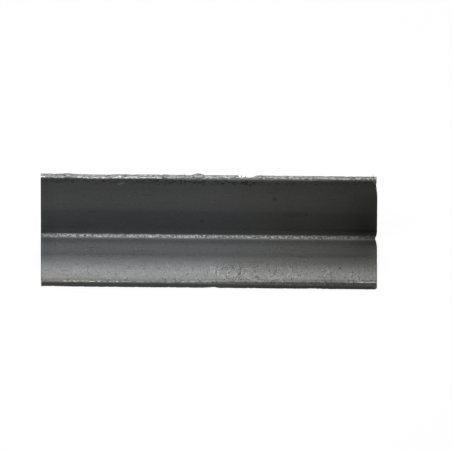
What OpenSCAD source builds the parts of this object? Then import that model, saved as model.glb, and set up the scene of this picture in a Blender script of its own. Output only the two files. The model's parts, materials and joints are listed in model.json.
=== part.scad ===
// Equal angle iron: a short length of hot-rolled steel lying on one leg, with the other leg standing
// along its back edge. X runs along the bar, +Y is the side of the standing leg's outer face and +Z is
// up. The origin is under the middle of the bar's box, on the surface that the flat leg lies on.

/* [Section] */
// Width of each leg, over the outside of the heel
leg = 50; // [40:5:80]
// Thickness of both legs
thickness = 4; // [3:0.5:6]
// Radius of the fillet in the inside corner, the root
root_radius = 5; // [3:0.5:8]
// Radius of the inside edge of each toe
toe_radius = 1; // [0.5:0.1:2]
// Radius of the outside edges, at the heel and at both toes
outer_radius = 0.3; // [0.2:0.1:0.8]

/* [Length] */
// Length between the sawn end and the sheared end
length = 210; // [150:10:6000]

/* [Sheared end] */
// Depth of the notch that the blades left across the root
root_notch_depth = 1.4; // [0.5:0.1:3]
// Distance of the notch's bottom from the middle of the root, towards the flat toe
root_notch_offset = 0.7; // [0:0.1:2]
// Reach of the notch's rounded shoulder on the standing leg's side
root_notch_upper = 4.2; // [3:0.1:6]
// Reach of its shoulder on the flat leg's side
root_notch_lower = 7; // [4:0.5:10]
// Depth of the dent below the standing toe
end_dent_depth = 1; // [0.4:0.1:2]
// Distance of the dent's bottom below the standing toe
end_dent_below_toe = 6; // [5:0.5:12]
// Reach of the dent's rounded shoulder above its bottom, which runs out past the toe
end_dent_upper = 20; // [14:1:30]
// Reach of its shoulder below
end_dent_lower = 10; // [5:0.5:20]
// Radius of the flat leg's corner, seen from above
end_corner_radius = 2; // [0.5:0.5:5]

/* [Standing toe] */
// Length of the chip along the toe's outside edge
chip_length = 12; // [8:0.5:20]
// Width that the chip takes off the top of the toe
chip_width = 2; // [0.5:0.1:2.5]
// Radius of the hollow at the chip's steep end, towards the sawn end
chip_steep_radius = 2; // [1.8:0.1:3]
// Radius of the hollow at its other end, where it runs out slowly
chip_slow_radius = 5; // [2:0.5:8]
// Distance of the chip's middle from the sheared end
chip_from_end = 81.2; // [30:0.1:110]
// Length of the raised burr on top of the toe
burr_length = 7.6; // [4:0.2:12]
// Height of the burr above the toe
burr_height = 1.1; // [0.4:0.1:1.5]
// Distance of the burr's middle from the sheared end
burr_from_end = 112.1; // [60:0.1:130]
// Distance of the burr's top from the outer face of the standing leg
burr_from_back = 0.6; // [0.5:0.1:2]

/* [Hidden] */
$fn = 96;
heel_y = leg / 2;
root_y = heel_y - thickness;
sheared_x = length / 2;
// Depth that a joined or cut shape passes into or beyond the bar
overlap = 0.5;
chip_depth = chip_width / sqrt(2);
burr_ball = cap_radius(burr_length, burr_height);
// Long enough for a cutter to pass right through the corner or a leg
cutter_length = 4 * (thickness + root_radius);

// Radius of the circle whose cap has this width and depth
function cap_radius(width, depth) = (width * width / 4 + depth * depth) / (2 * depth);
// Half the width of the cap that a circle of this radius has at this depth
function half_chord(radius, depth) = sqrt(depth * (2 * radius - depth));

// The area between the right-angled corner at the origin and the arc that touches both its sides
module corner_area(radius) {
    difference() {
        translate([-overlap, -overlap])
            square(radius + overlap);
        translate([radius, radius])
            circle(r = radius);
    }
}

// The L of the two legs, with Y across and Z up, before its edges are rounded
module square_section() {
    difference() {
        translate([-heel_y, 0])
            square(leg);
        translate([-heel_y - overlap, thickness])
            square(leg - thickness + overlap);
    }
}

module rolled_section() {
    difference() {
        union() {
            square_section();
            translate([root_y, thickness])
                mirror([1, 0])
                    corner_area(root_radius);
        }
        // The inside edge of each toe
        translate([-heel_y, thickness])
            mirror([0, 1])
                corner_area(toe_radius);
        translate([root_y, leg])
            mirror([0, 1])
                corner_area(toe_radius);
        // The outside edges of the flat toe, the heel and the standing toe
        translate([-heel_y, 0])
            corner_area(outer_radius);
        translate([heel_y, 0])
            mirror([1, 0])
                corner_area(outer_radius);
        translate([heel_y, leg])
            rotate(180)
                corner_area(outer_radius);
    }
}

module rolled_bar() {
    rotate([90, 0, 90])
        linear_extrude(height = length, center = true)
            rolled_section();
}

// A raised bead of metal left on top of the standing toe by the rolls
module toe_burr() {
    inner_y = root_y + toe_radius;
    intersection() {
        translate([sheared_x - burr_from_end, heel_y - burr_from_back, leg + burr_height - burr_ball])
            sphere(r = burr_ball);
        translate([sheared_x - burr_from_end - burr_length, inner_y, leg - overlap])
            cube([2 * burr_length, heel_y - outer_radius - inner_y, burr_height + 2 * overlap]);
    }
}

// The chip seen along the cut: a flat bottom between two rounded ends
module chip_area() {
    steep = half_chord(chip_steep_radius, chip_depth);
    slow = half_chord(chip_slow_radius, chip_depth);
    bottom_start = steep - chip_length / 2;
    bottom_end = chip_length / 2 - slow;
    translate([bottom_start, -chip_depth])
        square([bottom_end - bottom_start, chip_depth + 2 * overlap]);
    translate([bottom_start, chip_steep_radius - chip_depth])
        circle(r = chip_steep_radius);
    translate([bottom_end, chip_slow_radius - chip_depth])
        circle(r = chip_slow_radius);
}

// A chip off the outside edge of the standing toe
module toe_chip() {
    translate([sheared_x - chip_from_end, heel_y, leg])
        rotate([45, 0, 0])
            linear_extrude(height = cutter_length, center = true)
                chip_area();
}

// A valley in the end face, which is on the Y axis: two rounded shoulders that meet in a line at its bottom
module valley_area(depth, upper_reach, lower_reach) {
    upper_shoulder = cap_radius(2 * upper_reach, depth);
    lower_shoulder = cap_radius(2 * lower_reach, depth);
    difference() {
        translate([-depth - overlap, -lower_reach])
            square([depth + 2 * overlap, upper_reach + lower_reach]);
        translate([-upper_shoulder, upper_reach])
            circle(r = upper_shoulder);
        translate([-lower_shoulder, -lower_reach])
            circle(r = lower_shoulder);
    }
}

// The blades met at the root, and drew the corner of the end face in
module root_notch() {
    translate([sheared_x, root_y, thickness])
        rotate([45, 0, 0])
            translate([0, -root_notch_offset])
                linear_extrude(height = cutter_length, center = true)
                    valley_area(root_notch_depth, root_notch_upper, root_notch_lower);
}

module end_dent() {
    translate([sheared_x, heel_y, leg - end_dent_below_toe])
        rotate([90, 0, 0])
            linear_extrude(height = cutter_length, center = true)
                valley_area(end_dent_depth, end_dent_upper, end_dent_lower);
}

// The flat leg's outer corner at the sheared end
module end_corner() {
    translate([sheared_x, -heel_y, -overlap])
        linear_extrude(height = thickness + 2 * overlap)
            mirror([1, 0])
                corner_area(end_corner_radius);
}

module angle_iron() {
    color("#3d3f40")
        difference() {
            union() {
                rolled_bar();
                toe_burr();
            }
            toe_chip();
            root_notch();
            end_dent();
            end_corner();
        }
}

angle_iron();
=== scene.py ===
import json
import math

import bmesh
import bpy
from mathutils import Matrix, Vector, noise


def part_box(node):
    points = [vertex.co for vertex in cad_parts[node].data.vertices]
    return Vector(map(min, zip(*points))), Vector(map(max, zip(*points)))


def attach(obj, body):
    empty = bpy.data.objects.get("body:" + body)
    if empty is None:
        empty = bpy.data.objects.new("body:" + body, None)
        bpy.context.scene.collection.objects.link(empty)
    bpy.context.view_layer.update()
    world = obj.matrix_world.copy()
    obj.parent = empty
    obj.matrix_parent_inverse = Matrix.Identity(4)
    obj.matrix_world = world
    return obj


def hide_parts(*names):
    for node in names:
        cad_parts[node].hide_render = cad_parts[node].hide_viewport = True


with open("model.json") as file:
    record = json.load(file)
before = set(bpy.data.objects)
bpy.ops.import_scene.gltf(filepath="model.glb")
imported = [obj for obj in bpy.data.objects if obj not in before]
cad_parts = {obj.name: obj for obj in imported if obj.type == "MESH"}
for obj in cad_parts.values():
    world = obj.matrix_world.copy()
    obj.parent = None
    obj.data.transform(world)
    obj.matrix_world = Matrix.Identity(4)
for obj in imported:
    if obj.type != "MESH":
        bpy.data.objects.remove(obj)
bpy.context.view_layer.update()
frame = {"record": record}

mm = 0.001
tolerance = 0.1 * mm  # places nearer than this count as touching
mounts = {mount["name"]: mount for mount in frame["record"]["mounts"]}
low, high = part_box("angle_iron")
legWidth = high.y - low.y
legThickness = mounts["flat_leg_inside"]["pos_m"][2]
rootY = high.y - legThickness

# the rolled section, and how closely the mesh follows it
bar = {
    "rootRadius": 5.0 * mm,
    "toeRadius": 1.0 * mm,
    "outerRadius": 0.2 * mm,
    "rootSegments": 18,
    "toeSegments": 6,
    "outerSegments": 2,
    "toeStrip": 6.0 * mm,  # the strip beside each toe that gets the finer mesh
    "fineStep": 0.5 * mm,
    "coarseStep": 1.4 * mm,
    "lengthStep": 0.5 * mm,
    "endZone": 6.0 * mm,  # the stretch beside each cut end that gets the finer mesh
    "endStep": 0.25 * mm,
    "capStep": 0.9 * mm,  # between the cuts that divide the end faces
    "crispAngle": 40,  # degrees: the shading breaks at edges sharper than this
}

# what the saw, the shear, the rolls and handling did to it; fromEnd is measured from the sheared end
damage = {
    "rootNotch": {"depth": 1.4 * mm, "offset": 0.7 * mm, "upper": 4.2 * mm, "lower": 7.0 * mm},
    "endDent": {"depth": 1.0 * mm, "belowToe": 6.0 * mm, "upper": 20 * mm, "lower": 10 * mm},
    "endCornerRadius": 2.0 * mm,
    "backCornerRadius": 0.8 * mm,
    "chip": {
        "length": 12.0 * mm,
        "width": 2.0 * mm,
        "fromEnd": 81.2 * mm,
        "steep": 0.8 * mm,
        "slow": 3.4 * mm,
    },
    "burr": {"length": 7.6 * mm, "height": 1.25 * mm, "fromEnd": 111.8 * mm, "fromBack": 0.6 * mm},
    "sawnLean": 0.0032,  # out of square, as a share of the way from the standing toe to the flat toe
    "sawnBow": 0.75 * mm,  # how far the cut runs in besides at the flat toe
    "sawnBowPower": 1.15,  # 1 would make the bow a straight slope
    "shearedLean": 0.006,
    "flatToeWear": 1.4 * mm,  # how wide the toes' inner edges are worn round at most
    "standingToeWear": 1.3 * mm,
    "wearReach": 3.4 * mm,  # how far from those edges the wear still tells
}

# what the rolls and the scale leave on the skin: sizes are along and across the bar
relief = {
    "waveHeight": 0.02 * mm,
    "waveSize": (34 * mm, 11 * mm),
    "lumpHeight": 0.14 * mm,
    "lumpSize": (1.2 * mm, 1.0 * mm),
    "grainHeight": 0.1 * mm,
    "grainSize": (0.7 * mm, 0.6 * mm),
    "nickDepth": 0.35 * mm,
    "nickSize": (2.6 * mm, 1.6 * mm),
    "roughHeight": 0.09 * mm,
    "roughSize": (0.9 * mm, 0.9 * mm),
    "pitDepth": 0.2 * mm,
}

# low bumps on the back of the standing toe; the first is the lip beside the chip
toeBumps = [
    {"length": 4.2 * mm, "height": 0.4 * mm, "fromEnd": 73.6 * mm, "fromBack": 0.6 * mm},
    {"length": 4.5 * mm, "height": 0.5 * mm, "fromEnd": 132.7 * mm, "fromBack": 0.6 * mm},
    {"length": 6.5 * mm, "height": 0.6 * mm, "fromEnd": 193.0 * mm, "fromBack": 0.6 * mm},
]

# stretches where the standing toe is a little low
toeDips = [
    {"along": -70 * mm, "length": 34 * mm, "depth": 0.4 * mm},
    {"along": -13 * mm, "length": 5 * mm, "depth": 0.2 * mm},
]

# stretches where the flat toe's lower edge is a little short of square
underDips = [
    {"along": -97 * mm, "length": 32 * mm, "depth": 0.3 * mm},
    {"along": -13 * mm, "length": 7 * mm, "depth": 0.25 * mm},
    {"along": 2 * mm, "length": 14 * mm, "depth": 0.5 * mm},
]

# slivers of steel that stand up from the standing toe: where each one is, and how its tip lies from there
slivers = [
    {"fromEnd": 2.8 * mm, "fromBack": 0.6 * mm, "width": 1.3, "tip": (-0.2 * mm, 0.3 * mm, 1.6 * mm)},
    {"fromEnd": 82.8 * mm, "fromBack": 1.9 * mm, "width": 0.5, "tip": (0.7 * mm, 0.2 * mm, 1.2 * mm)},
    {"fromEnd": 84.6 * mm, "fromBack": 1.4 * mm, "width": 0.7, "tip": (-0.4 * mm, 0.5 * mm, 1.3 * mm)},
    {"fromEnd": 86.4 * mm, "fromBack": 1.2 * mm, "width": 0.7, "tip": (-0.8 * mm, 0.5 * mm, 1.2 * mm)},
    {"fromEnd": 120.9 * mm, "fromBack": 0.5 * mm, "width": 0.7, "tip": (0.2 * mm, 0.1 * mm, 0.6 * mm)},
]

# pits where a flake of scale came away with some steel, on the inside of the standing leg
pits = [
    {"fromEnd": 64.3 * mm, "height": 33.8 * mm, "size": 1.5 * mm},
    {"fromEnd": 109.4 * mm, "height": 15.3 * mm, "size": 1.3 * mm},
    {"fromEnd": 44.3 * mm, "height": 22.3 * mm, "size": 1.2 * mm},
    {"fromEnd": 120.0 * mm, "height": 47.2 * mm, "size": 1.3 * mm},
    {"fromEnd": 114.5 * mm, "height": 46.8 * mm, "size": 1.1 * mm},
    {"fromEnd": 99.7 * mm, "height": 47.0 * mm, "size": 1.2 * mm},
    {"fromEnd": 90.0 * mm, "height": 46.8 * mm, "size": 1.1 * mm},
    {"fromEnd": 82.4 * mm, "height": 46.6 * mm, "size": 1.9 * mm},
    {"fromEnd": 79.3 * mm, "height": 45.0 * mm, "size": 1.3 * mm},
    {"fromEnd": 77.0 * mm, "height": 46.4 * mm, "size": 1.1 * mm},
    {"fromEnd": 52.5 * mm, "height": 47.0 * mm, "size": 1.0 * mm},
    {"fromEnd": 29.0 * mm, "height": 46.9 * mm, "size": 1.1 * mm},
    {"fromEnd": 3.4 * mm, "height": 47.2 * mm, "size": 1.3 * mm},
]

# oily and dark spots on the inside: along is from the middle of the bar, and down is from the
# standing toe, down the standing leg and then along the flat leg
spots = [
    {"along": -5.6 * mm, "down": 3.4 * mm, "size": (5 * mm, 3 * mm), "stain": 0.9, "tone": 1.0},
    {"along": 8 * mm, "down": 74 * mm, "size": (4 * mm, 16 * mm), "stain": 0.45, "tone": 0.99},
    {"along": 48 * mm, "down": 71 * mm, "size": (6 * mm, 8 * mm), "stain": 0.4, "tone": 1.0},
    {"along": 94 * mm, "down": 79 * mm, "size": (7 * mm, 8 * mm), "stain": 0.6, "tone": 0.94},
    {"along": -88 * mm, "down": 84 * mm, "size": (12 * mm, 7 * mm), "stain": 0.5, "tone": 0.97},
    {"along": 36 * mm, "down": 70 * mm, "size": (3 * mm, 7 * mm), "stain": 0.1, "tone": 0.8},
    {"along": 28 * mm, "down": 52 * mm, "size": (4 * mm, 2.4 * mm), "stain": 0.0, "tone": 0.7},
    {"along": -92 * mm, "down": 2.4 * mm, "size": (8 * mm, 2.4 * mm), "stain": 0.0, "tone": 0.82},
    {"along": 53 * mm, "down": 28 * mm, "size": (10 * mm, 3.2 * mm), "stain": 0.3, "tone": 0.84},
]

# light scratches on the inside of the standing leg, each from one (along, height) to another
scratches = [
    {"start": (-56.4 * mm, 45.1 * mm), "stop": (-52.6 * mm, 46.8 * mm), "tone": 2.6},
    {"start": (-68.5 * mm, 9.4 * mm), "stop": (-66.8 * mm, 10.0 * mm), "tone": 1.5},
]


def smoothRamp(value, start, end):
    share = min(1.0, max(0.0, (value - start) / (end - start)))
    return share * share * (3 - 2 * share)


def blend(first, second, share):
    return first + (second - first) * share


def plateau(value, rise, fall):
    # 1 between two ramps and 0 beyond them
    return smoothRamp(value, *rise) * (1 - smoothRamp(value, *fall))


def grain(co, along, across, seed=0.0):
    # gradient noise from about -1 to 1, with its own size along and across the bar
    point = Vector((co.x / along, co.y / across, co.z / across))
    return noise.noise(point + Vector((seed, 1.7 * seed, 2.3 * seed)))


def circleOfCap(width, depth):
    return (width * width / 4 + depth * depth) / (2 * depth)


def pick(items, kind):
    return [item for item in items if isinstance(item, kind)]


# the section is a ring of edges at the sawn end
def drawSection(bm):
    corners = {
        "heel": (high.y, 0),
        "flatToeUnder": (low.y, 0),
        "flatToe": (low.y, legThickness),
        "flatStrip": (low.y + bar["toeStrip"], legThickness),
        "root": (rootY, legThickness),
        "standingStrip": (rootY, legWidth - bar["toeStrip"]),
        "standingToe": (rootY, legWidth),
        "standingToeBack": (high.y, legWidth),
        "backStrip": (high.y, legWidth - bar["toeStrip"]),
    }
    verts = {name: bm.verts.new((low.x, y, z)) for name, (y, z) in corners.items()}
    ring = list(verts.values())
    for first, second in zip(ring, ring[1:] + ring[:1]):
        bm.edges.new((first, second))
    roundings = [
        (["root"], bar["rootRadius"], bar["rootSegments"]),
        (["flatToe", "standingToe"], bar["toeRadius"], bar["toeSegments"]),
        (["heel", "flatToeUnder", "standingToeBack"], bar["outerRadius"], bar["outerSegments"]),
    ]
    for names, radius, segments in roundings:
        bmesh.ops.bevel(bm, geom=[verts[name] for name in names], offset=radius,
                        offset_type="OFFSET", segments=segments, profile=0.5,
                        affect="VERTICES", material=-1)
    for edge in list(bm.edges):
        isFlat = edge.calc_length() > bar["toeStrip"]
        step = bar["coarseStep"] if isFlat else bar["fineStep"]
        cuts = round(edge.calc_length() / step) - 1
        if cuts > 0:
            bmesh.ops.subdivide_edges(bm, edges=[edge], cuts=cuts)


# the ring is drawn out to the sheared end, finer near both ends
def drawOut(bm):
    ring = list(bm.edges)
    nearEnd = (bar["endZone"], bar["endStep"])
    middle = (high.x - low.x - 2 * bar["endZone"], bar["lengthStep"])
    for span, step in (nearEnd, middle, nearEnd):
        grown = bmesh.ops.extrude_edge_only(bm, edges=ring)["geom"]
        bmesh.ops.translate(bm, verts=pick(grown, bmesh.types.BMVert), vec=(span, 0, 0))
        grownRing = pick(grown, bmesh.types.BMEdge)
        rungs = [edge for vert in pick(grown, bmesh.types.BMVert) for edge in vert.link_edges
                 if edge.other_vert(vert).co.x < vert.co.x - tolerance]
        bmesh.ops.subdivide_edges(bm, edges=rungs, cuts=round(span / step) - 1)
        ring = grownRing
    bmesh.ops.recalc_face_normals(bm, faces=bm.faces)


# an end face is filled in, then divided by cuts so that it can take the notch and the dent
def closeEnd(bm, endX, slot):
    rim = [edge for edge in bm.edges if edge.is_boundary and abs(edge.verts[0].co.x - endX) < tolerance]
    faces = bmesh.ops.contextual_create(bm, geom=rim)["faces"]
    steps = range(1, round(legWidth / bar["capStep"]))
    cuts = [((0, 0, low.z + step * bar["capStep"]), (0, 0, 1)) for step in steps]
    cuts += [((0, low.y + step * bar["capStep"], 0), (0, 1, 0)) for step in steps]
    for point, normal in cuts:
        geom = {item for face in faces for item in (face, *face.edges, *face.verts)}
        sliced = bmesh.ops.bisect_plane(bm, geom=list(geom), dist=tolerance / 100,
                                        plane_co=point, plane_no=normal)
        faces = pick(sliced["geom"], bmesh.types.BMFace)
    for face in faces:
        face.material_index = slot


def onInside(co):
    return co.y < rootY + tolerance and co.z > legThickness - tolerance


def filletAngle(co):
    # degrees up the root's fillet, from 0 where it leaves the flat leg to 90 on the standing leg
    radius = bar["rootRadius"]
    return math.degrees(math.atan2(radius - (rootY - co.y), radius - (co.z - legThickness)))


def rootShare(co):
    # 1 on the fillet's cracked middle, 0 on the rest of the bar
    radius = bar["rootRadius"]
    if not onInside(co) or rootY - co.y > radius or co.z - legThickness > radius:
        return 0.0
    angle = filletAngle(co) + 7 * grain(co, 2.2 * mm, 40 * mm, 3) - 4 * endShare(co)
    return plateau(angle, (20, 32), (38, 50))


def arrisShare(co, reach):
    # 1 on the edges of both toes, falling to 0 at reach from them
    standing = max(0.0, legWidth - co.z)
    flat = max(0.0, co.y - low.y)
    return 1 - smoothRamp(min(standing, flat), 0, reach)


def pitShare(co):
    # 1 in the middle of a pit, 0 outside all of them
    if not onInside(co):
        return 0.0
    share = 0.0
    for pit in pits:
        away = math.hypot(co.x - high.x + pit["fromEnd"], co.z - pit["height"])
        share = max(share, 1 - away / pit["size"])
    return share


def skinRelief(co):
    # slow waves from the rolls, lumps of cracked scale in the root, and nicks in both toes
    waves = relief["waveHeight"] * grain(co, *relief["waveSize"])
    lumps = relief["lumpHeight"] * grain(co, *relief["lumpSize"], 11)
    lumps += relief["grainHeight"] * grain(co, *relief["grainSize"], 12)
    nicks = relief["nickDepth"] * min(0.0, grain(co, *relief["nickSize"], 21) + 0.1)
    nicks += relief["roughHeight"] * grain(co, *relief["roughSize"], 22)
    rise = waves + rootShare(co) * lumps + arrisShare(co, 1.6 * mm) * nicks
    return rise - relief["pitDepth"] * pitShare(co)


def betweenShoulders(hollow, offset):
    # a valley between two rounded shoulders: its depth at this offset up from its bottom
    reach = hollow["upper"] if offset > 0 else hollow["lower"]
    if abs(offset) >= reach:
        return 0.0
    shoulder = circleOfCap(2 * reach, hollow["depth"])
    return shoulder - math.sqrt(shoulder ** 2 - (reach - abs(offset)) ** 2)


def roundedCorner(radius, fromCorner):
    beyond = min(radius, max(0.0, radius - fromCorner))
    return radius - math.sqrt(radius ** 2 - beyond ** 2)


def fromStandingToe(co):
    # how far down the standing leg and then along the flat leg this place is
    return legWidth - co.z if co.z > legThickness else legWidth - legThickness + rootY - co.y


def shearedInset(co):
    # how far the sheared end face lies inside a square cut at this place on it
    notch, dent = damage["rootNotch"], damage["endDent"]
    acrossNotch = ((co.y - rootY) + (co.z - legThickness)) / math.sqrt(2) + notch["offset"]
    inset = betweenShoulders(notch, acrossNotch) + 0.06 * mm * grain(co, 4 * mm, 4 * mm, 31)
    inset += damage["shearedLean"] * max(0.0, legWidth - legThickness - fromStandingToe(co))
    if co.z > legWidth / 2:
        inset += betweenShoulders(dent, co.z - (legWidth - dent["belowToe"]))
        backCorner = roundedCorner(damage["backCornerRadius"], high.y - co.y)
        inset += backCorner * smoothRamp(co.z, legWidth - 6 * mm, legWidth - 2 * mm)
    return inset + roundedCorner(damage["endCornerRadius"], co.y - low.y)


def sawnInset(co):
    alongFlat = max(0.0, (rootY - co.y) / legWidth)
    bow = damage["sawnBow"] * alongFlat ** damage["sawnBowPower"]
    return damage["sawnLean"] * fromStandingToe(co) + bow


def chipDrop(co):
    # how far the chip's hollow lies under the outside edge of the standing toe at this vertex:
    # flat along most of its length, steep towards the sawn end and sloping towards the sheared one
    chip = damage["chip"]
    depth = chip["width"] / math.sqrt(2)
    along = co.x - (high.x - chip["fromEnd"])
    fromSteep, fromSlow = chip["length"] / 2 + along, chip["length"] / 2 - along
    if min(fromSteep, fromSlow) <= 0:
        return 0.0
    sides = min(smoothRamp(fromSteep, 0, chip["steep"]), smoothRamp(fromSlow, 0, chip["slow"]))
    beyondEdge = ((co.y - high.y) + (co.z - legWidth)) / math.sqrt(2)
    return max(0.0, beyondEdge + depth * sides)


def capRise(bump, co):
    # how high a bump shaped like a cap of a ball stands above the standing toe here
    ball = circleOfCap(bump["length"], bump["height"])
    away = math.hypot(co.x - high.x + bump["fromEnd"], (co.y - high.y + bump["fromBack"]) / 2)
    if away >= ball or co.z < legWidth - 0.25 * mm:
        return 0.0
    return max(0.0, math.sqrt(ball ** 2 - away ** 2) - (ball - bump["height"]))


def burrRise(co):
    towardsBack = smoothRamp(co.y, rootY + 0.4 * mm, rootY + 2.2 * mm)
    return towardsBack * capRise(damage["burr"], co)


def bumpRise(co):
    return sum(capRise(bump, co) for bump in toeBumps)


def dipDepth(dips, x):
    shares = [1 - smoothRamp(abs(x - dip["along"]), 0, dip["length"] / 2) for dip in dips]
    return sum(share * dip["depth"] for share, dip in zip(shares, dips))


def underEdgeLift(co):
    reach = 1.5 * mm
    if co.y > low.y + mm or co.z > reach:
        return 0.0
    lift = dipDepth(underDips, co.x) + 0.08 * mm * max(0.0, grain(co, 14 * mm, 14 * mm, 32))
    return lift * (1 - co.z / reach)


def flatToeWear(x):
    # not worn at the sawn end, most at the sheared end
    return damage["flatToeWear"] * smoothRamp(x, -75 * mm, 95 * mm)


def standingToeWear(x):
    # not worn in the sawn half, most beside the burr and the chip
    share = smoothRamp(x, -28 * mm, -8 * mm) - 0.3 * smoothRamp(x, 35 * mm, 75 * mm)
    return damage["standingToeWear"] * share


def wearDrop(co):
    reach = damage["wearReach"]
    fromFlatEdge, fromStandingEdge = co.y - low.y, max(0.0, co.y - rootY)
    drop = 0.0
    if fromFlatEdge < reach:
        drop = flatToeWear(co.x) * (1 - fromFlatEdge / reach) ** 2 * (co.z / legThickness) ** 2
    if co.z > legWidth - reach and fromStandingEdge < reach:
        nearTop = smoothRamp(co.z, legWidth - reach, legWidth - 0.2 * mm)
        drop += 0.5 * standingToeWear(co.x) * (1 - fromStandingEdge / reach) ** 2 * nearTop
    if co.z > legWidth - reach:
        drop += dipDepth(toeDips, co.x) * smoothRamp(co.z, legWidth - reach, legWidth)
    return drop


def shapeSurface(bm):
    bm.normal_update()
    normals = {vert: vert.normal.copy() for vert in bm.verts}
    towardsCorner = Vector((0, -1, -1)).normalized()
    for vert in bm.verts:
        co = vert.co.copy()
        moved = co + normals[vert] * skinRelief(co)
        moved.z += burrRise(co) + bumpRise(co) - wearDrop(co) + underEdgeLift(co)
        drop = chipDrop(co)
        if drop > 0:
            moved += towardsCorner * (drop + 0.12 * mm * grain(co, 1.2 * mm, 0.8 * mm, 41))
        moved.x -= smoothRamp(co.x, high.x - 4 * mm, high.x) * shearedInset(co)
        moved.x += (1 - smoothRamp(co.x, low.x, low.x + 4 * mm)) * sawnInset(co)
        vert.co = moved


def raiseSlivers(bm):
    for sliver in slivers:
        base = Vector((high.x - sliver["fromEnd"], high.y - sliver["fromBack"], legWidth))
        face = min(bm.faces, key=lambda face: (face.calc_center_median() - base).length_squared)
        middle = face.calc_center_median()
        grown = bmesh.ops.extrude_face_region(bm, geom=[face])["geom"]
        for vert in pick(grown, bmesh.types.BMVert):
            vert.co = middle.lerp(vert.co, sliver["width"]) + Vector(sliver["tip"])
        bmesh.ops.delete(bm, geom=[face], context="FACES_ONLY")  # it would stay inside the sliver


# how dark or light the scale is painted from place to place, as shares of its own colour; the entries
# said to be so are painted shade and highlight, matched to the lamps
shade = {
    # painted shade: the standing leg's inside face is darker than the flat leg
    "standing": 0.48,
    "standingTop": 0.31,  # painted shade just under the toe
    "standingRoot": 0.2,  # painted shade on the top of the fillet
    "standingStep": 20 * mm,  # above the flat leg, where a painted reflection of the flat leg's lit outer half begins
    "standingToe": 0.66,
    "burrHighlight": 2.3,  # a painted highlight on the burr's front slope, a share of the toe's
    # painted shade on the burr's top
    "burrTipShade": 0.46,
    "belowStep": 0.86,  # shares of the standing leg's, below and above that painted reflection step
    "aboveStep": 1.03,
    "standingFoot": 1.1,
    "standingLast": 1.15,  # over its last third before the sheared end
    # painted shade on the flat leg beside the root, where the standing leg shades it
    "besideRoot": 0.77,
    "flatRim": (0.44, 0.97),  # painted shade along the flat toe, as shares of the flat leg's, from its toe inwards
    "flatEdge": 0.21,  # painted shade on the worn edge of the flat toe
    "flatArris": 0.52,  # painted shade on its rounding
    "root": 1.0,
    # painted shade on the flat toe's front face
    "toeFace": 0.26,
    "outside": 0.75,
    "cutEdge": 0.45,  # a share of the rest's, over the last half millimetre before each cut end
    "sawnEnd": 0.74,  # the same over the last centimetre or two
    "shearedEnd": 0.6,
    "pit": 0.12,
}

# painted fall-off of the light: how much of the tone each face loses towards the sheared end
loss = {
    "standing": 0.68,
    "besideRoot": 0.47,
    "flatToe": 0.26,
    "flatDarkBand": 0.18,
    "toeTop": 0.33,
    "toeTopEnd": 0.1,
    "toeFace": 0.43,
    "flatArris": 0.5,
    "flatArrisEnd": 0.15,
    "root": 0.5,
    "rootEnd": 0.44,
}

# painted shade and light across the flat leg, from the tone beside the root: each is reached between
# two distances from the standing leg, and the first is a paler band
flatTones = [
    {"tone": 1.13, "start": 5 * mm, "stop": 11 * mm},
    {"tone": 0.93, "start": 14 * mm, "stop": 20 * mm},
    {"tone": 0.86, "start": 33 * mm, "stop": 40 * mm},
]


def endShare(co):
    # grows to 1 towards the sheared end
    return min(1.0, max(0.0, (co.x - low.x - 95 * mm) / (115 * mm)) ** 1.6)


def spotShare(spot, co):
    alongSize, downSize = spot["size"]
    away = math.hypot((co.x - spot["along"]) / alongSize, (fromStandingToe(co) - spot["down"]) / downSize)
    return 1 - smoothRamp(away + 0.25 * grain(co, 2 * mm, 2 * mm, 61), 0.3, 1.0)


def scratchShare(scratch, co):
    start, stop = Vector(scratch["start"]), Vector(scratch["stop"])
    along = stop - start
    here = Vector((co.x, co.z)) - start
    share = min(1.0, max(0.0, here.dot(along) / along.length_squared))
    return 1 - smoothRamp((here - along * share).length, 0.2 * mm, 0.6 * mm)


def standingTone(co):
    # painted shade over the standing leg's inside face: the painted reflection step, darker under the toe
    # and on the fillet's top, fading towards the sheared end, with its light scratches
    height, end = co.z - legThickness, endShare(co)
    step = shade["standingStep"]
    aboveStep = smoothRamp(height, step - 1.2 * mm, step + mm)
    tone = shade["standing"] * blend(shade["belowStep"], shade["aboveStep"], aboveStep)
    tone *= blend(shade["standingFoot"], 1.0, smoothRamp(height, 4 * mm, 14 * mm))
    tone *= blend(1.0, shade["standingTop"] / shade["standing"], smoothRamp(height, 24 * mm, 45 * mm))
    tone *= blend(1.0, shade["standingLast"], smoothRamp(co.x, 45 * mm, 70 * mm))
    if rootY - co.y < bar["rootRadius"] and height < bar["rootRadius"]:
        tone = blend(tone, shade["standingRoot"], 1 - smoothRamp(filletAngle(co), 62, 88))
        end *= 1.35
    for scratch in scratches:
        tone *= blend(1.0, scratch["tone"], scratchShare(scratch, co))
    return tone * (1 - loss["standing"] * end)


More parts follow.
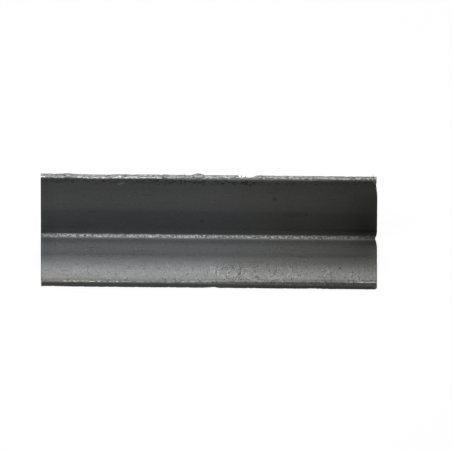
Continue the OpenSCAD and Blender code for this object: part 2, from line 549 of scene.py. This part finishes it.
def flatTone(co):
    # painted shade and light across the flat leg: shade beside the root, a painted shadow edge near the
    # sheared end, painted shade at the worn toe edge and a painted highlight on its lip
    fromRoot, fromEdge = rootY - co.y, co.y - low.y
    tone = shade["besideRoot"]
    for band in flatTones:
        tone = blend(tone, band["tone"], smoothRamp(fromRoot, band["start"], band["stop"]))
    # a painted shadow edge: towards the sheared end the lit outer half starts further out
    darker = plateau(fromRoot, (22 * mm, 26 * mm), (33 * mm, 38 * mm))
    tone *= 1 - loss["flatDarkBand"] * darker * smoothRamp(co.x, 0, 20 * mm)
    wear = flatToeWear(co.x)
    worn = 0.5 * mm + 1.1 * wear
    edge = shade["flatEdge"] * (1 - 0.4 * wear / mm * (1 - 0.6 * smoothRamp(fromEdge, 0, worn)))
    rim = blend(*shade["flatRim"], smoothRamp(fromEdge, 0, 5.6 * mm))
    rim *= 1 - 0.25 * wear / mm * (1 - smoothRamp(fromEdge, 3.2 * mm, 5 * mm))
    # a painted highlight along the worn toe's lip near the sheared end
    lip = 1 - smoothRamp(abs(fromEdge - 2.3 * mm), 0.2 * mm, 0.6 * mm)
    rim *= 1 + 0.7 * lip * smoothRamp(co.x, 72 * mm, 90 * mm)
    tone *= blend(edge, rim, smoothRamp(fromEdge, worn, worn + 0.8 * mm))
    # painted fall-off of the light towards the sheared end
    lost = blend(loss["besideRoot"], loss["flatToe"], smoothRamp(fromRoot, 20 * mm, 36 * mm))
    return tone * (1 - lost * endShare(co))


def toeTopTone(co):
    # painted fall-off of the light towards the sheared end, with rubbed and dented patches
    tone = shade["standingToe"] * (1 - loss["toeTopEnd"] * endShare(co))
    tone *= 1 - loss["toeTop"] * smoothRamp(co.x, -5 * mm, 50 * mm)
    rubs = 0.7 * grain(co, 3.4 * mm, 0.9 * mm, 62) + 0.5 * grain(co, 1.1 * mm, 0.6 * mm, 63)
    return tone * (1 + rubs * blend(1.0, 0.4, smoothRamp(co.x, 20 * mm, 60 * mm)))


def cutEndTone(co):
    # duller towards both ends: less so on the outer half of the flat leg, and at the sheared end paler
    # high on the standing leg
    sawn = blend(shade["sawnEnd"], 0.93, smoothRamp(rootY - co.y, 20 * mm, 30 * mm))
    sheared = blend(shade["shearedEnd"], 0.95, smoothRamp(rootY - co.y, 4 * mm, 20 * mm))
    sheared = blend(sheared, 1.1, smoothRamp(co.z, 32 * mm, 42 * mm))
    tone = blend(sawn, 1.0, smoothRamp(co.x - low.x, 0, 14 * mm))
    return tone * blend(sheared, 1.0, smoothRamp(high.x - co.x, 0, 24 * mm))


def standingToeTone(co):
    # the top of the toe from behind its worn edge, with a painted highlight on the burr's foot and
    # painted shade on its top
    inward = co.y - rootY - 0.3 * mm - 1.1 * standingToeWear(co.x)
    toe = smoothRamp(inward, 0, 0.4 * mm) * smoothRamp(co.z, legWidth - 0.3 * mm, legWidth - tolerance)
    rise = burrRise(co)
    foot = smoothRamp(rise, 0.15 * mm, 0.8 * mm)
    burr = blend(1.0, shade["burrHighlight"], foot)
    burr = blend(burr, shade["burrTipShade"], smoothRamp(rise, mm, 1.2 * mm))
    return blend(standingTone(co), toeTopTone(co) * burr, max(toe, foot))


def toneOf(co):
    # the tone mark: the scale's own blotches, spots, pits and scratches, and over them painted shade and
    # highlight matched to the lamps
    blotch = 1 + 0.05 * grain(co, 26 * mm, 9 * mm, 51)
    fromEnd = min(co.x - low.x, high.x - co.x)
    blotch *= blend(shade["cutEdge"], 1.0, smoothRamp(fromEnd, 0.2 * mm, 0.8 * mm))
    end = endShare(co)
    if co.z > legWidth - 1.1 * mm and rootY - mm < co.y < high.y - tolerance:
        return standingToeTone(co)
    # painted shade on the flat toe's front face, and then on its rounding
    if co.y < low.y + tolerance / 2:
        return shade["toeFace"] * (1 - loss["toeFace"] * smoothRamp(co.x, 0, 50 * mm))
    if co.y < low.y + bar["toeRadius"] and legThickness / 2 < co.z < legThickness - tolerance:
        tone = shade["flatArris"] * (1 - loss["flatArris"] * smoothRamp(co.x, -70 * mm, 30 * mm))
        return tone * (1 - loss["flatArrisEnd"] * end)
    if not onInside(co):
        return shade["outside"] * blotch
    upright = smoothRamp(filletAngle(co), 40, 52) if rootY - co.y < bar["rootRadius"] else 0.0
    plain = blend(flatTone(co), standingTone(co), upright) * blend(1.0, shade["pit"], pitShare(co))
    for spot in spots:
        plain *= blend(1.0, spot["tone"], spotShare(spot, co))
    # the cracked root, its tone fading towards the sheared end as painted fall-off of the light
    root = shade["root"] * (1 - loss["root"] * end - loss["rootEnd"] * end ** 2)
    return blend(plain, root, rootShare(co)) * blotch * cutEndTone(co)


def shadeTintOf(co):
    # painted blue tint of the shade: low on the standing leg, which mirrors the shaded flat leg, and on
    # the shaded flat leg near the root, away from the sheared end
    if not onInside(co):
        return 0.5
    standing = 1 - smoothRamp(co.z - legThickness, 18.5 * mm, 21.5 * mm)
    flat = 1 - smoothRamp(rootY - co.y, 30 * mm, 38 * mm)
    share = min(standing, flat) * (1 - rootShare(co)) * (1 - smoothRamp(co.x, -5 * mm, 45 * mm))
    return min(1.0, max(0.0, share * (1 + 0.6 * grain(co, 13 * mm, 5 * mm, 71))))


def stainOf(co):
    # how yellow the grime makes it: towards the sheared end, most on the standing leg, and in oily spots
    flat = blend(0.05, 0.3, smoothRamp(rootY - co.y, 12 * mm, 24 * mm))
    flat *= smoothRamp(co.x, -5 * mm, 25 * mm)
    share = blend(flat, endShare(co), smoothRamp(co.z, legThickness, legThickness + 5 * mm))
    if onInside(co):
        share += sum(spot["stain"] * spotShare(spot, co) for spot in spots)
    return min(1.0, share)


def shineOf(co):
    # how much of the scale is worn to bright steel: along the inner edges of both toes
    shine = 0.0
    if co.z > legWidth - 0.3 * mm:
        fromEdge = co.y - rootY - 0.8 * mm - 1.1 * standingToeWear(co.x)
        shine = 0.75 * (1 - smoothRamp(abs(fromEdge), 0.3 * mm, 0.8 * mm))
        shine *= (1 - 0.5 * smoothRamp(co.x, -45 * mm, -25 * mm)) * (1 - 0.5 * endShare(co))
    if co.z > legWidth - tolerance:
        shine = max(shine, 0.3)
    if onInside(co):
        fromEdge = co.y - low.y - 0.8 * mm - 1.1 * flatToeWear(co.x)
        nearEdge = 1 - smoothRamp(abs(fromEdge), 0.2 * mm, 0.55 * mm)
        dashes = plateau(co.x, (-96 * mm, -88 * mm), (0, 10 * mm))
        dashes *= 1 - 0.6 * smoothRamp(co.x, -60 * mm, -50 * mm)
        lip = 0.5 * smoothRamp(co.x, 76 * mm, 96 * mm)
        shine = max(shine, nearEdge * max(0.75 * dashes, lip, 0.04))
    return shine


def rustOf(co):
    # light rust at the sawn end of the flat toe, and at the sheared end of the standing toe
    fromSawnCorner = math.hypot((co.x - low.x - 16 * mm) / (20 * mm), (co.y - low.y - mm) / (8 * mm))
    fromShearedCorner = math.hypot(co.x - high.x, co.z - legWidth + mm) / (4 * mm)
    flatToe = 1 - smoothRamp(fromSawnCorner, 0.2, 1.0) if onInside(co) else 0.0
    return max(flatToe, 1 - smoothRamp(fromShearedCorner, 0.3, 1.0))


def chipsOf(co):
    # how thickly the scale has flaked off in dark spots just under the standing toe
    if not onInside(co):
        return 0.0
    spread = max(0.65, plateau(co.x, (-52 * mm, -36 * mm), (30 * mm, 40 * mm)))
    return spread * smoothRamp(co.z, legWidth - 6 * mm, legWidth - 3 * mm)


def flakeAndLightOf(co):
    # where the scale is speckled: most on the outer half of the flat leg, on the rim of its toe and
    # towards the sheared end, and on the standing toe; the flaking is the scale's own, but painted
    # strongest where the back lamp lights the flat leg
    if onInside(co):
        share = blend(0.1, 1.0, smoothRamp(rootY - co.y, 23 * mm, 33 * mm))
        share *= blend(0.5, 1.15, smoothRamp(co.x, -70 * mm, 20 * mm))
        return share * blend(1.6, 1.0, smoothRamp(co.y - low.y, 3 * mm, 6 * mm))
    return 1.0 if co.z > legWidth - tolerance else 0.4


def throughOf(co):
    # how far the shear had torn rather than cut here: 0 on the inside faces, 1 on the outside ones
    # and at the flat toe's dragged corner
    corner = 1 - smoothRamp(co.y, low.y + mm, low.y + damage["endCornerRadius"] + mm)
    return min(1.0, max(corner, (co.y - rootY) / legThickness, (legThickness - co.z) / legThickness))


def markSurface(bm):
    painters = {"tone": toneOf, "shadeTint": shadeTintOf, "stain": stainOf, "root": rootShare, "flakeAndLight": flakeAndLightOf,
                "chips": chipsOf, "rust": rustOf, "shine": shineOf, "through": throughOf}
    for name, painter in painters.items():
        layer = bm.verts.layers.float.new(name)
        for vert in bm.verts:
            vert[layer] = painter(vert.co)


def toLinear(code):
    parts = [int(code[place:place + 2], 16) / 255 for place in (1, 3, 5)]
    return (*(part / 12.92 if part <= 0.04045 else ((part + 0.055) / 1.055) ** 2.4 for part in parts), 1)


def newMaterial(name):
    material = bpy.data.materials.new(name)
    material.use_nodes = True
    material.node_tree.nodes.clear()
    return material


def addNode(material, kind, links=None, output=0, **settings):
    node = material.node_tree.nodes.new(kind)
    for name, value in settings.items():
        setattr(node, name, value)
    for socket, source in (links or {}).items():
        if isinstance(source, bpy.types.NodeSocket):
            material.node_tree.links.new(source, node.inputs[socket])
        else:
            node.inputs[socket].default_value = source
    return node.outputs[output] if node.outputs else None


def hotRolledMillScale():
    # blue-grey iron oxide from the rolling mill: dark and half glossy, speckled where it is thin,
    # cracked into grains in the root, and rubbed to bright steel along the edges of the toes
    look = {
        "shadedScale": "#797c7e",
        "plainScale": "#7c7d7c",
        "stain": "#f4f0e4",
        "chips": "#1c1d1e",
        "rust": "#7a6f5c",
        "shine": "#a09f9c",
        "bumpStrength": 0.7,
        "bumpHeight": 0.3 * mm,
        "roughness": 0.48,
        "baredRoughness": 0.42,
        "metallic": 0.4,
        "baredMetallic": 0.95,
        "specular": 0.3,
    }
    # sizes are in mm, along and across the bar; level is the stretch of the noise over which each pattern
    # sets in, and change is what it goes from and to
    patterns = {
        "streaks": {"size": (35.2, 2.2), "detail": 3, "level": (0.3, 0.7), "change": (0.97, 1.03)},
        "hairlines": {"size": (16, 1.0), "detail": 2, "level": (0.6, 0.7), "change": (1.0, 0.78)},
        "patches": {"size": (13, 13), "detail": 2, "level": (0.35, 0.55), "change": (0.5, 1.0)},
        # real flakes are about 0.5 mm: these are drawn coarser so that they show
        "flakes": {"size": (2.6, 5.98), "detail": 1.5, "level": (0.0, 1.0), "change": (0.0, 1.0)},
        "speckle": {"size": (1.4, 1.4), "detail": 3, "level": (0.38, 0.62), "change": (-0.08, 0.08)},
        "darkSpecks": {"size": (1.4, 1.4), "detail": 2, "level": (0.65, 0.71), "change": (1.0, 0.5)},
        "paleSpecks": {"size": (1.4, 1.4), "detail": 2, "level": (0.31, 0.36), "change": (1.4, 1.0)},
        "cracks": {"size": (1.2, 1.2), "detail": 3, "level": (0.35, 0.65), "change": (-0.85, 0.85)},
        "chips": {"size": (2.4, 1.0), "detail": 2, "level": (0.49, 0.58), "change": (0.0, 1.0)},
        "rust": {"size": (2.5, 2.5), "detail": 3, "level": (0.4, 0.6), "change": (0.0, 0.45)},
        "shine": {"size": (1.92, 0.8), "detail": 2, "level": (0.48, 0.6), "change": (0.0, 1.0)},
        "skin": {"size": (0.8, 0.8), "detail": 2, "level": (0.0, 1.0), "change": (0.0, 0.12)},
    }
    # the two lines round a flake: the dark crack, and inside it the lifted, paler rim
    flakeLines = [
        {"level": 0.5, "reach": 0.03, "change": -0.68},
        {"level": 0.56, "reach": 0.04, "change": 0.42},
    ]
    metal = newMaterial("hot_rolled_mill_scale")
    marks = {name: addNode(metal, "ShaderNodeAttribute", attribute_name=name, output="Fac")
             for name in ("tone", "shadeTint", "stain", "root", "flakeAndLight", "chips", "rust", "shine")}
    place = addNode(metal, "ShaderNodeTexCoord", output="Object")
    noises, shares = {}, {}
    for name, pattern in patterns.items():
        along, across = [1 / (size * mm) for size in pattern["size"]]
        stretched = addNode(metal, "ShaderNodeMapping", {
            "Vector": place, "Scale": (along, across, across),
        })
        noises[name] = addNode(metal, "ShaderNodeTexNoise", {
            "Vector": stretched, "Scale": 1.0, "Detail": pattern["detail"],
        })
        (start, stop), (before, after) = pattern["level"], pattern["change"]
        shares[name] = addNode(metal, "ShaderNodeMapRange", {
            "Value": noises[name], "From Min": start, "From Max": stop, "To Min": before, "To Max": after,
        })

    # a painted blue tint of the shade, then the yellow of grime
    colour = addNode(metal, "ShaderNodeMix", {
        "Factor": marks["shadeTint"], "A": toLinear(look["plainScale"]), "B": toLinear(look["shadedScale"]),
    }, "Result", data_type="RGBA")
    colour = addNode(metal, "ShaderNodeMix", {
        "Factor": marks["stain"], "A": colour, "B": toLinear(look["stain"]),
    }, "Result", data_type="RGBA", blend_type="MULTIPLY")

    # flakes of scale in patches
    patches = addNode(metal, "ShaderNodeMath", {
        0: shares["patches"], 1: marks["flakeAndLight"],
    }, operation="MULTIPLY")
    flaking = shares["speckle"]
    for flakeLine in flakeLines:
        line = addNode(metal, "ShaderNodeMath", {
            0: shares["flakes"], 1: flakeLine["level"],
        }, operation="SUBTRACT")
        line = addNode(metal, "ShaderNodeMath", {0: line}, operation="ABSOLUTE")
        line = addNode(metal, "ShaderNodeMapRange", {
            "Value": line, "From Max": flakeLine["reach"], "To Min": flakeLine["change"], "To Max": 0.0,
        })
        flaking = addNode(metal, "ShaderNodeMath", {0: flaking, 1: line}, operation="ADD")
    flaking = addNode(metal, "ShaderNodeMath", {
        0: flaking, 1: patches, 2: 1.0,
    }, operation="MULTIPLY_ADD")

    # cracked grains in the root, then all that changes the tone, which carries the painted shade and
    # highlight
    cracked = addNode(metal, "ShaderNodeMath", {
        0: shares["cracks"], 1: marks["root"], 2: 1.0,
    }, operation="MULTIPLY_ADD")
    tone = marks["tone"]
    for share in (shares["streaks"], shares["hairlines"], flaking,
                  shares["darkSpecks"], shares["paleSpecks"], cracked):
        tone = addNode(metal, "ShaderNodeMath", {0: tone, 1: share}, operation="MULTIPLY")
    colour = addNode(metal, "ShaderNodeVectorMath", {0: colour, "Scale": tone}, operation="SCALE")

    # dark chips, light rust and bared steel, one over the other
    for name in ("chips", "rust", "shine"):
        cover = addNode(metal, "ShaderNodeMath", {0: shares[name], 1: marks[name]}, operation="MULTIPLY")
        colour = addNode(metal, "ShaderNodeMix", {
            "Factor": cover, "A": colour, "B": toLinear(look[name]),
        }, "Result", data_type="RGBA")

    # a fine skin all over, and the gaps between the grains in the root
    height = addNode(metal, "ShaderNodeMath", {
        0: noises["cracks"], 1: marks["root"], 2: shares["skin"],
    }, operation="MULTIPLY_ADD")
    bump = addNode(metal, "ShaderNodeBump", {
        "Height": height, "Strength": look["bumpStrength"], "Distance": look["bumpHeight"],
    })
    metallic = addNode(metal, "ShaderNodeMapRange", {
        "Value": cover, "To Min": look["metallic"], "To Max": look["baredMetallic"],
    })
    roughness = addNode(metal, "ShaderNodeMapRange", {
        "Value": cover, "To Min": look["roughness"], "To Max": look["baredRoughness"],
    })
    shader = addNode(metal, "ShaderNodeBsdfPrincipled", {
        "Base Color": colour, "Metallic": metallic, "Roughness": roughness,
        "Specular IOR Level": look["specular"], "Normal": bump,
    })
    addNode(metal, "ShaderNodeOutputMaterial", {"Surface": shader})
    return metal


def coldSawnSteel():
    # bare steel left by a circular saw: fine bowed lines across the cut, bright but filmed with rust
    look = {
        "steel": "#9a9996",
        "line": "#868481",
        "rust": "#6e5340",
        "lineStep": 1.3,  # mm, coarser than real tooth marks so that the lines show
        "lineWander": 0.8,
        "lineStrength": 0.4,
        "lineDepth": 0.05 * mm,
        "bladeMiddle": Vector((0, -0.12, 0.16)),
        "rustSize": 7,  # mm
        "rustLevel": (0.45, 0.65),
        "rustCover": 0.35,
        "roughness": 0.36,
        "rustedRoughness": 0.9,
        "metallic": 0.9,
        "rustedMetallic": 0.1,
    }
    metal = newMaterial("cold_sawn_steel")
    place = addNode(metal, "ShaderNodeTexCoord", output="Object")
    aroundBlade = addNode(metal, "ShaderNodeMapping", {"Vector": place, "Location": -look["bladeMiddle"]})
    linesPerMetre = 1 / (look["lineStep"] * mm)  # at a scale of 1 the rings are tau / 20 apart
    lines = addNode(metal, "ShaderNodeTexWave", {
        "Vector": aroundBlade, "Scale": linesPerMetre * math.tau / 20,
        "Distortion": look["lineWander"], "Detail": 1.0,
    }, "Fac", wave_type="RINGS", rings_direction="X")
    inMm = addNode(metal, "ShaderNodeMapping", {"Vector": place, "Scale": (1 / mm, 1 / mm, 1 / mm)})
    rust = addNode(metal, "ShaderNodeTexNoise", {
        "Vector": inMm, "Scale": 1 / look["rustSize"], "Detail": 5.0,
    })
    start, stop = look["rustLevel"]
    rust = addNode(metal, "ShaderNodeMapRange", {
        "Value": rust, "From Min": start, "From Max": stop, "To Max": look["rustCover"],
    })
    colour = addNode(metal, "ShaderNodeMix", {
        "Factor": lines, "A": toLinear(look["line"]), "B": toLinear(look["steel"]),
    }, "Result", data_type="RGBA")
    colour = addNode(metal, "ShaderNodeMix", {
        "Factor": rust, "A": colour, "B": toLinear(look["rust"]),
    }, "Result", data_type="RGBA")
    bump = addNode(metal, "ShaderNodeBump", {
        "Height": lines, "Strength": look["lineStrength"], "Distance": look["lineDepth"],
    })
    metallic = addNode(metal, "ShaderNodeMapRange", {
        "Value": rust, "To Min": look["metallic"], "To Max": look["rustedMetallic"],
    })
    roughness = addNode(metal, "ShaderNodeMapRange", {
        "Value": rust, "To Min": look["roughness"], "To Max": look["rustedRoughness"],
    })
    shader = addNode(metal, "ShaderNodeBsdfPrincipled", {
        "Base Color": colour, "Metallic": metallic, "Roughness": roughness, "Normal": bump,
    })
    addNode(metal, "ShaderNodeOutputMaterial", {"Surface": shader})
    return metal


def shearedSteel():
    # steel parted by a shear: a burnished band where the blade went in, then torn, darker metal that
    # rusts first
    look = {
        "burnished": "#8f8e8b",
        "torn": "#5b5753",
        "rust": "#6e5340",
        "bandDepth": 0.4,  # a share of the thickness
        "bandEdge": 0.05,
        "tornSize": 0.8,  # mm
        "tornWander": 0.3,
        "tornStrength": 0.8,
        "tornDepth": 0.3 * mm,
        "rustSize": 5,  # mm
        "rustLevel": (0.45, 0.62),
        "rustCover": 0.5,
        "roughness": 0.4,
        "tornRoughness": 0.75,
        "metallic": 0.85,
        "rustedMetallic": 0.1,
    }
    metal = newMaterial("sheared_steel")
    through = addNode(metal, "ShaderNodeAttribute", attribute_name="through", output="Fac")
    place = addNode(metal, "ShaderNodeTexCoord", output="Object")
    inMm = addNode(metal, "ShaderNodeMapping", {"Vector": place, "Scale": (1 / mm, 1 / mm, 1 / mm)})
    rough = addNode(metal, "ShaderNodeTexNoise", {
        "Vector": inMm, "Scale": 1 / look["tornSize"], "Detail": 4.0,
    })
    edge = addNode(metal, "ShaderNodeMath", {
        0: rough, 1: look["tornWander"], 2: through,
    }, operation="MULTIPLY_ADD")
    middle = look["bandDepth"] + look["tornWander"] / 2
    torn = addNode(metal, "ShaderNodeMapRange", {
        "Value": edge, "From Min": middle - look["bandEdge"], "From Max": middle + look["bandEdge"],
    })
    rust = addNode(metal, "ShaderNodeTexNoise", {
        "Vector": inMm, "Scale": 1 / look["rustSize"], "Detail": 5.0,
    })
    start, stop = look["rustLevel"]
    rust = addNode(metal, "ShaderNodeMapRange", {
        "Value": rust, "From Min": start, "From Max": stop, "To Max": look["rustCover"],
    })
    rust = addNode(metal, "ShaderNodeMath", {0: rust, 1: torn}, operation="MULTIPLY")
    colour = addNode(metal, "ShaderNodeMix", {
        "Factor": torn, "A": toLinear(look["burnished"]), "B": toLinear(look["torn"]),
    }, "Result", data_type="RGBA")
    colour = addNode(metal, "ShaderNodeMix", {
        "Factor": rust, "A": colour, "B": toLinear(look["rust"]),
    }, "Result", data_type="RGBA")
    height = addNode(metal, "ShaderNodeMath", {0: rough, 1: torn}, operation="MULTIPLY")
    bump = addNode(metal, "ShaderNodeBump", {
        "Height": height, "Strength": look["tornStrength"], "Distance": look["tornDepth"],
    })
    metallic = addNode(metal, "ShaderNodeMapRange", {
        "Value": rust, "To Min": look["metallic"], "To Max": look["rustedMetallic"],
    })
    roughness = addNode(metal, "ShaderNodeMapRange", {
        "Value": torn, "To Min": look["roughness"], "To Max": look["tornRoughness"],
    })
    shader = addNode(metal, "ShaderNodeBsdfPrincipled", {
        "Base Color": colour, "Metallic": metallic, "Roughness": roughness, "Normal": bump,
    })
    addNode(metal, "ShaderNodeOutputMaterial", {"Surface": shader})
    return metal


bm = bmesh.new()
drawSection(bm)
drawOut(bm)
print("bar drawn out:", len(bm.verts), "vertices")
closeEnd(bm, low.x, 1)
closeEnd(bm, high.x, 2)
bmesh.ops.recalc_face_normals(bm, faces=bm.faces)
markSurface(bm)
print("surface marked")
shapeSurface(bm)
raiseSlivers(bm)
print("surface shaped")
for face in bm.faces:
    face.smooth = True
for edge in bm.edges:
    if len(edge.link_faces) == 2 and edge.calc_face_angle() > math.radians(bar["crispAngle"]):
        edge.smooth = False
mesh = bpy.data.meshes.new("rolled_angle")
bm.to_mesh(mesh)
bm.free()
rolledAngle = bpy.data.objects.new("rolled_angle", mesh)
bpy.context.scene.collection.objects.link(rolledAngle)
for material in (hotRolledMillScale(), coldSawnSteel(), shearedSteel()):
    mesh.materials.append(material)
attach(rolledAngle, "root")
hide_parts("angle_iron")
print("angle made")


studio = {
    "floorSize": 6.0,
    "floorGap": 0.05 * mm,  # below the bar
    "floorShade": "#c8c8c8",
    "floorGlow": 1.08,
    "floorWhiteness": 0.85,  # how much of the glow shows in place of the paper
    "worldLevel": 0.15,
    # tilt is from overhead towards the front, and drop is the distance from the bar
    "backLamp": {"tilt": -30.5, "drop": 1.08, "along": 0.0, "size": (0.20, 0.28), "watts": 6.6},
    "frontLamp": {"tilt": 20, "drop": 0.40, "along": -0.05, "size": (0.34, 0.12), "watts": 0.96},
}


def seenRays(material):
    # 1 where the camera, a gloss or a transmission ray looks
    camera, gloss, transmission = [addNode(material, "ShaderNodeLightPath", output=name)
                                   for name in ("Is Camera Ray", "Is Glossy Ray", "Is Transmission Ray")]
    first = addNode(material, "ShaderNodeMath", {0: camera, 1: gloss}, operation="MAXIMUM")
    return addNode(material, "ShaderNodeMath", {0: first, 1: transmission}, operation="MAXIMUM")


def paperFloor():
    material = newMaterial("paper_floor")
    paper = addNode(material, "ShaderNodeBsdfDiffuse", {"Color": toLinear(studio["floorShade"])})
    white = addNode(material, "ShaderNodeEmission", {
        "Color": (1, 1, 1, 1), "Strength": studio["floorGlow"],
    })
    share = addNode(material, "ShaderNodeMath", {
        0: seenRays(material), 1: studio["floorWhiteness"],
    }, operation="MULTIPLY")
    mixed = addNode(material, "ShaderNodeMixShader", {0: share, 1: paper, 2: white})
    addNode(material, "ShaderNodeOutputMaterial", {"Surface": mixed})
    return material


def makeFloor():
    bm = bmesh.new()
    bmesh.ops.create_grid(bm, x_segments=1, y_segments=1, size=studio["floorSize"] / 2)
    mesh = bpy.data.meshes.new("floor")
    bm.to_mesh(mesh)
    bm.free()
    mesh.materials.append(paperFloor())
    floor = bpy.data.objects.new("floor", mesh)
    floor.location.z = low.z - studio["floorGap"]
    bpy.context.scene.collection.objects.link(floor)


def makeLamp(name, tilt, drop, along, size, watts):
    data = bpy.data.lights.new(name, "AREA")
    data.shape = "RECTANGLE"
    data.size, data.size_y = size
    data.energy = watts
    lamp = bpy.data.objects.new(name, data)
    towardsLamp = Vector((0, -math.sin(math.radians(tilt)), math.cos(math.radians(tilt))))
    lamp.location = Vector((along, 0, legWidth / 2)) + towardsLamp * drop
    lamp.rotation_euler = towardsLamp.to_track_quat("Z", "Y").to_euler()
    lamp.visible_camera = False
    bpy.context.scene.collection.objects.link(lamp)


def makeWorld():
    world = bpy.data.worlds.new("studio")
    world.use_nodes = True
    world.node_tree.nodes.clear()
    seen = seenRays(world)
    fill = addNode(world, "ShaderNodeBackground", {
        "Color": (1, 1, 1, 1), "Strength": studio["worldLevel"],
    })
    white = addNode(world, "ShaderNodeBackground", {"Color": (1, 1, 1, 1), "Strength": 1.0})
    mixed = addNode(world, "ShaderNodeMixShader", {0: seen, 1: fill, 2: white})
    addNode(world, "ShaderNodeOutputWorld", {"Surface": mixed})
    bpy.context.scene.world = world


view = {
    "elevation": math.radians(40),
    "roll": math.radians(0.55),
    "lens": 1500.0,  # long, so that the bar shows almost no perspective
    "frameWidth": 281.4 * mm,
    "targetRight": 10.71 * mm,  # from the middle of the bar
    "targetUp": 3.41 * mm,
}


def makeCamera():
    data = bpy.data.cameras.new("camera")
    data.lens = view["lens"]
    camera = bpy.data.objects.new("camera", data)
    bpy.context.scene.collection.objects.link(camera)
    bpy.context.scene.camera = camera
    back = Vector((0, -math.cos(view["elevation"]), math.sin(view["elevation"])))
    levelUp = Vector((0, math.sin(view["elevation"]), math.cos(view["elevation"])))
    right = Vector((1, 0, 0)) * math.cos(view["roll"]) + levelUp * math.sin(view["roll"])
    up = back.cross(right)
    middle = Vector((0, 0, legWidth / 2))
    target = middle + right * view["targetRight"] + up * view["targetUp"]
    distance = view["frameWidth"] * data.lens / data.sensor_width
    data.clip_start, data.clip_end = distance / 100, distance * 10
    camera.location = target + back * distance
    turn = back.to_track_quat("Z", "Y").to_matrix()
    turn.col[0], turn.col[1], turn.col[2] = right, up, back
    camera.rotation_euler = turn.to_euler()


makeFloor()
for name in ("backLamp", "frontLamp"):
    makeLamp(name, **studio[name])
makeWorld()
makeCamera()
bpy.context.scene.view_settings.view_transform = "Standard"
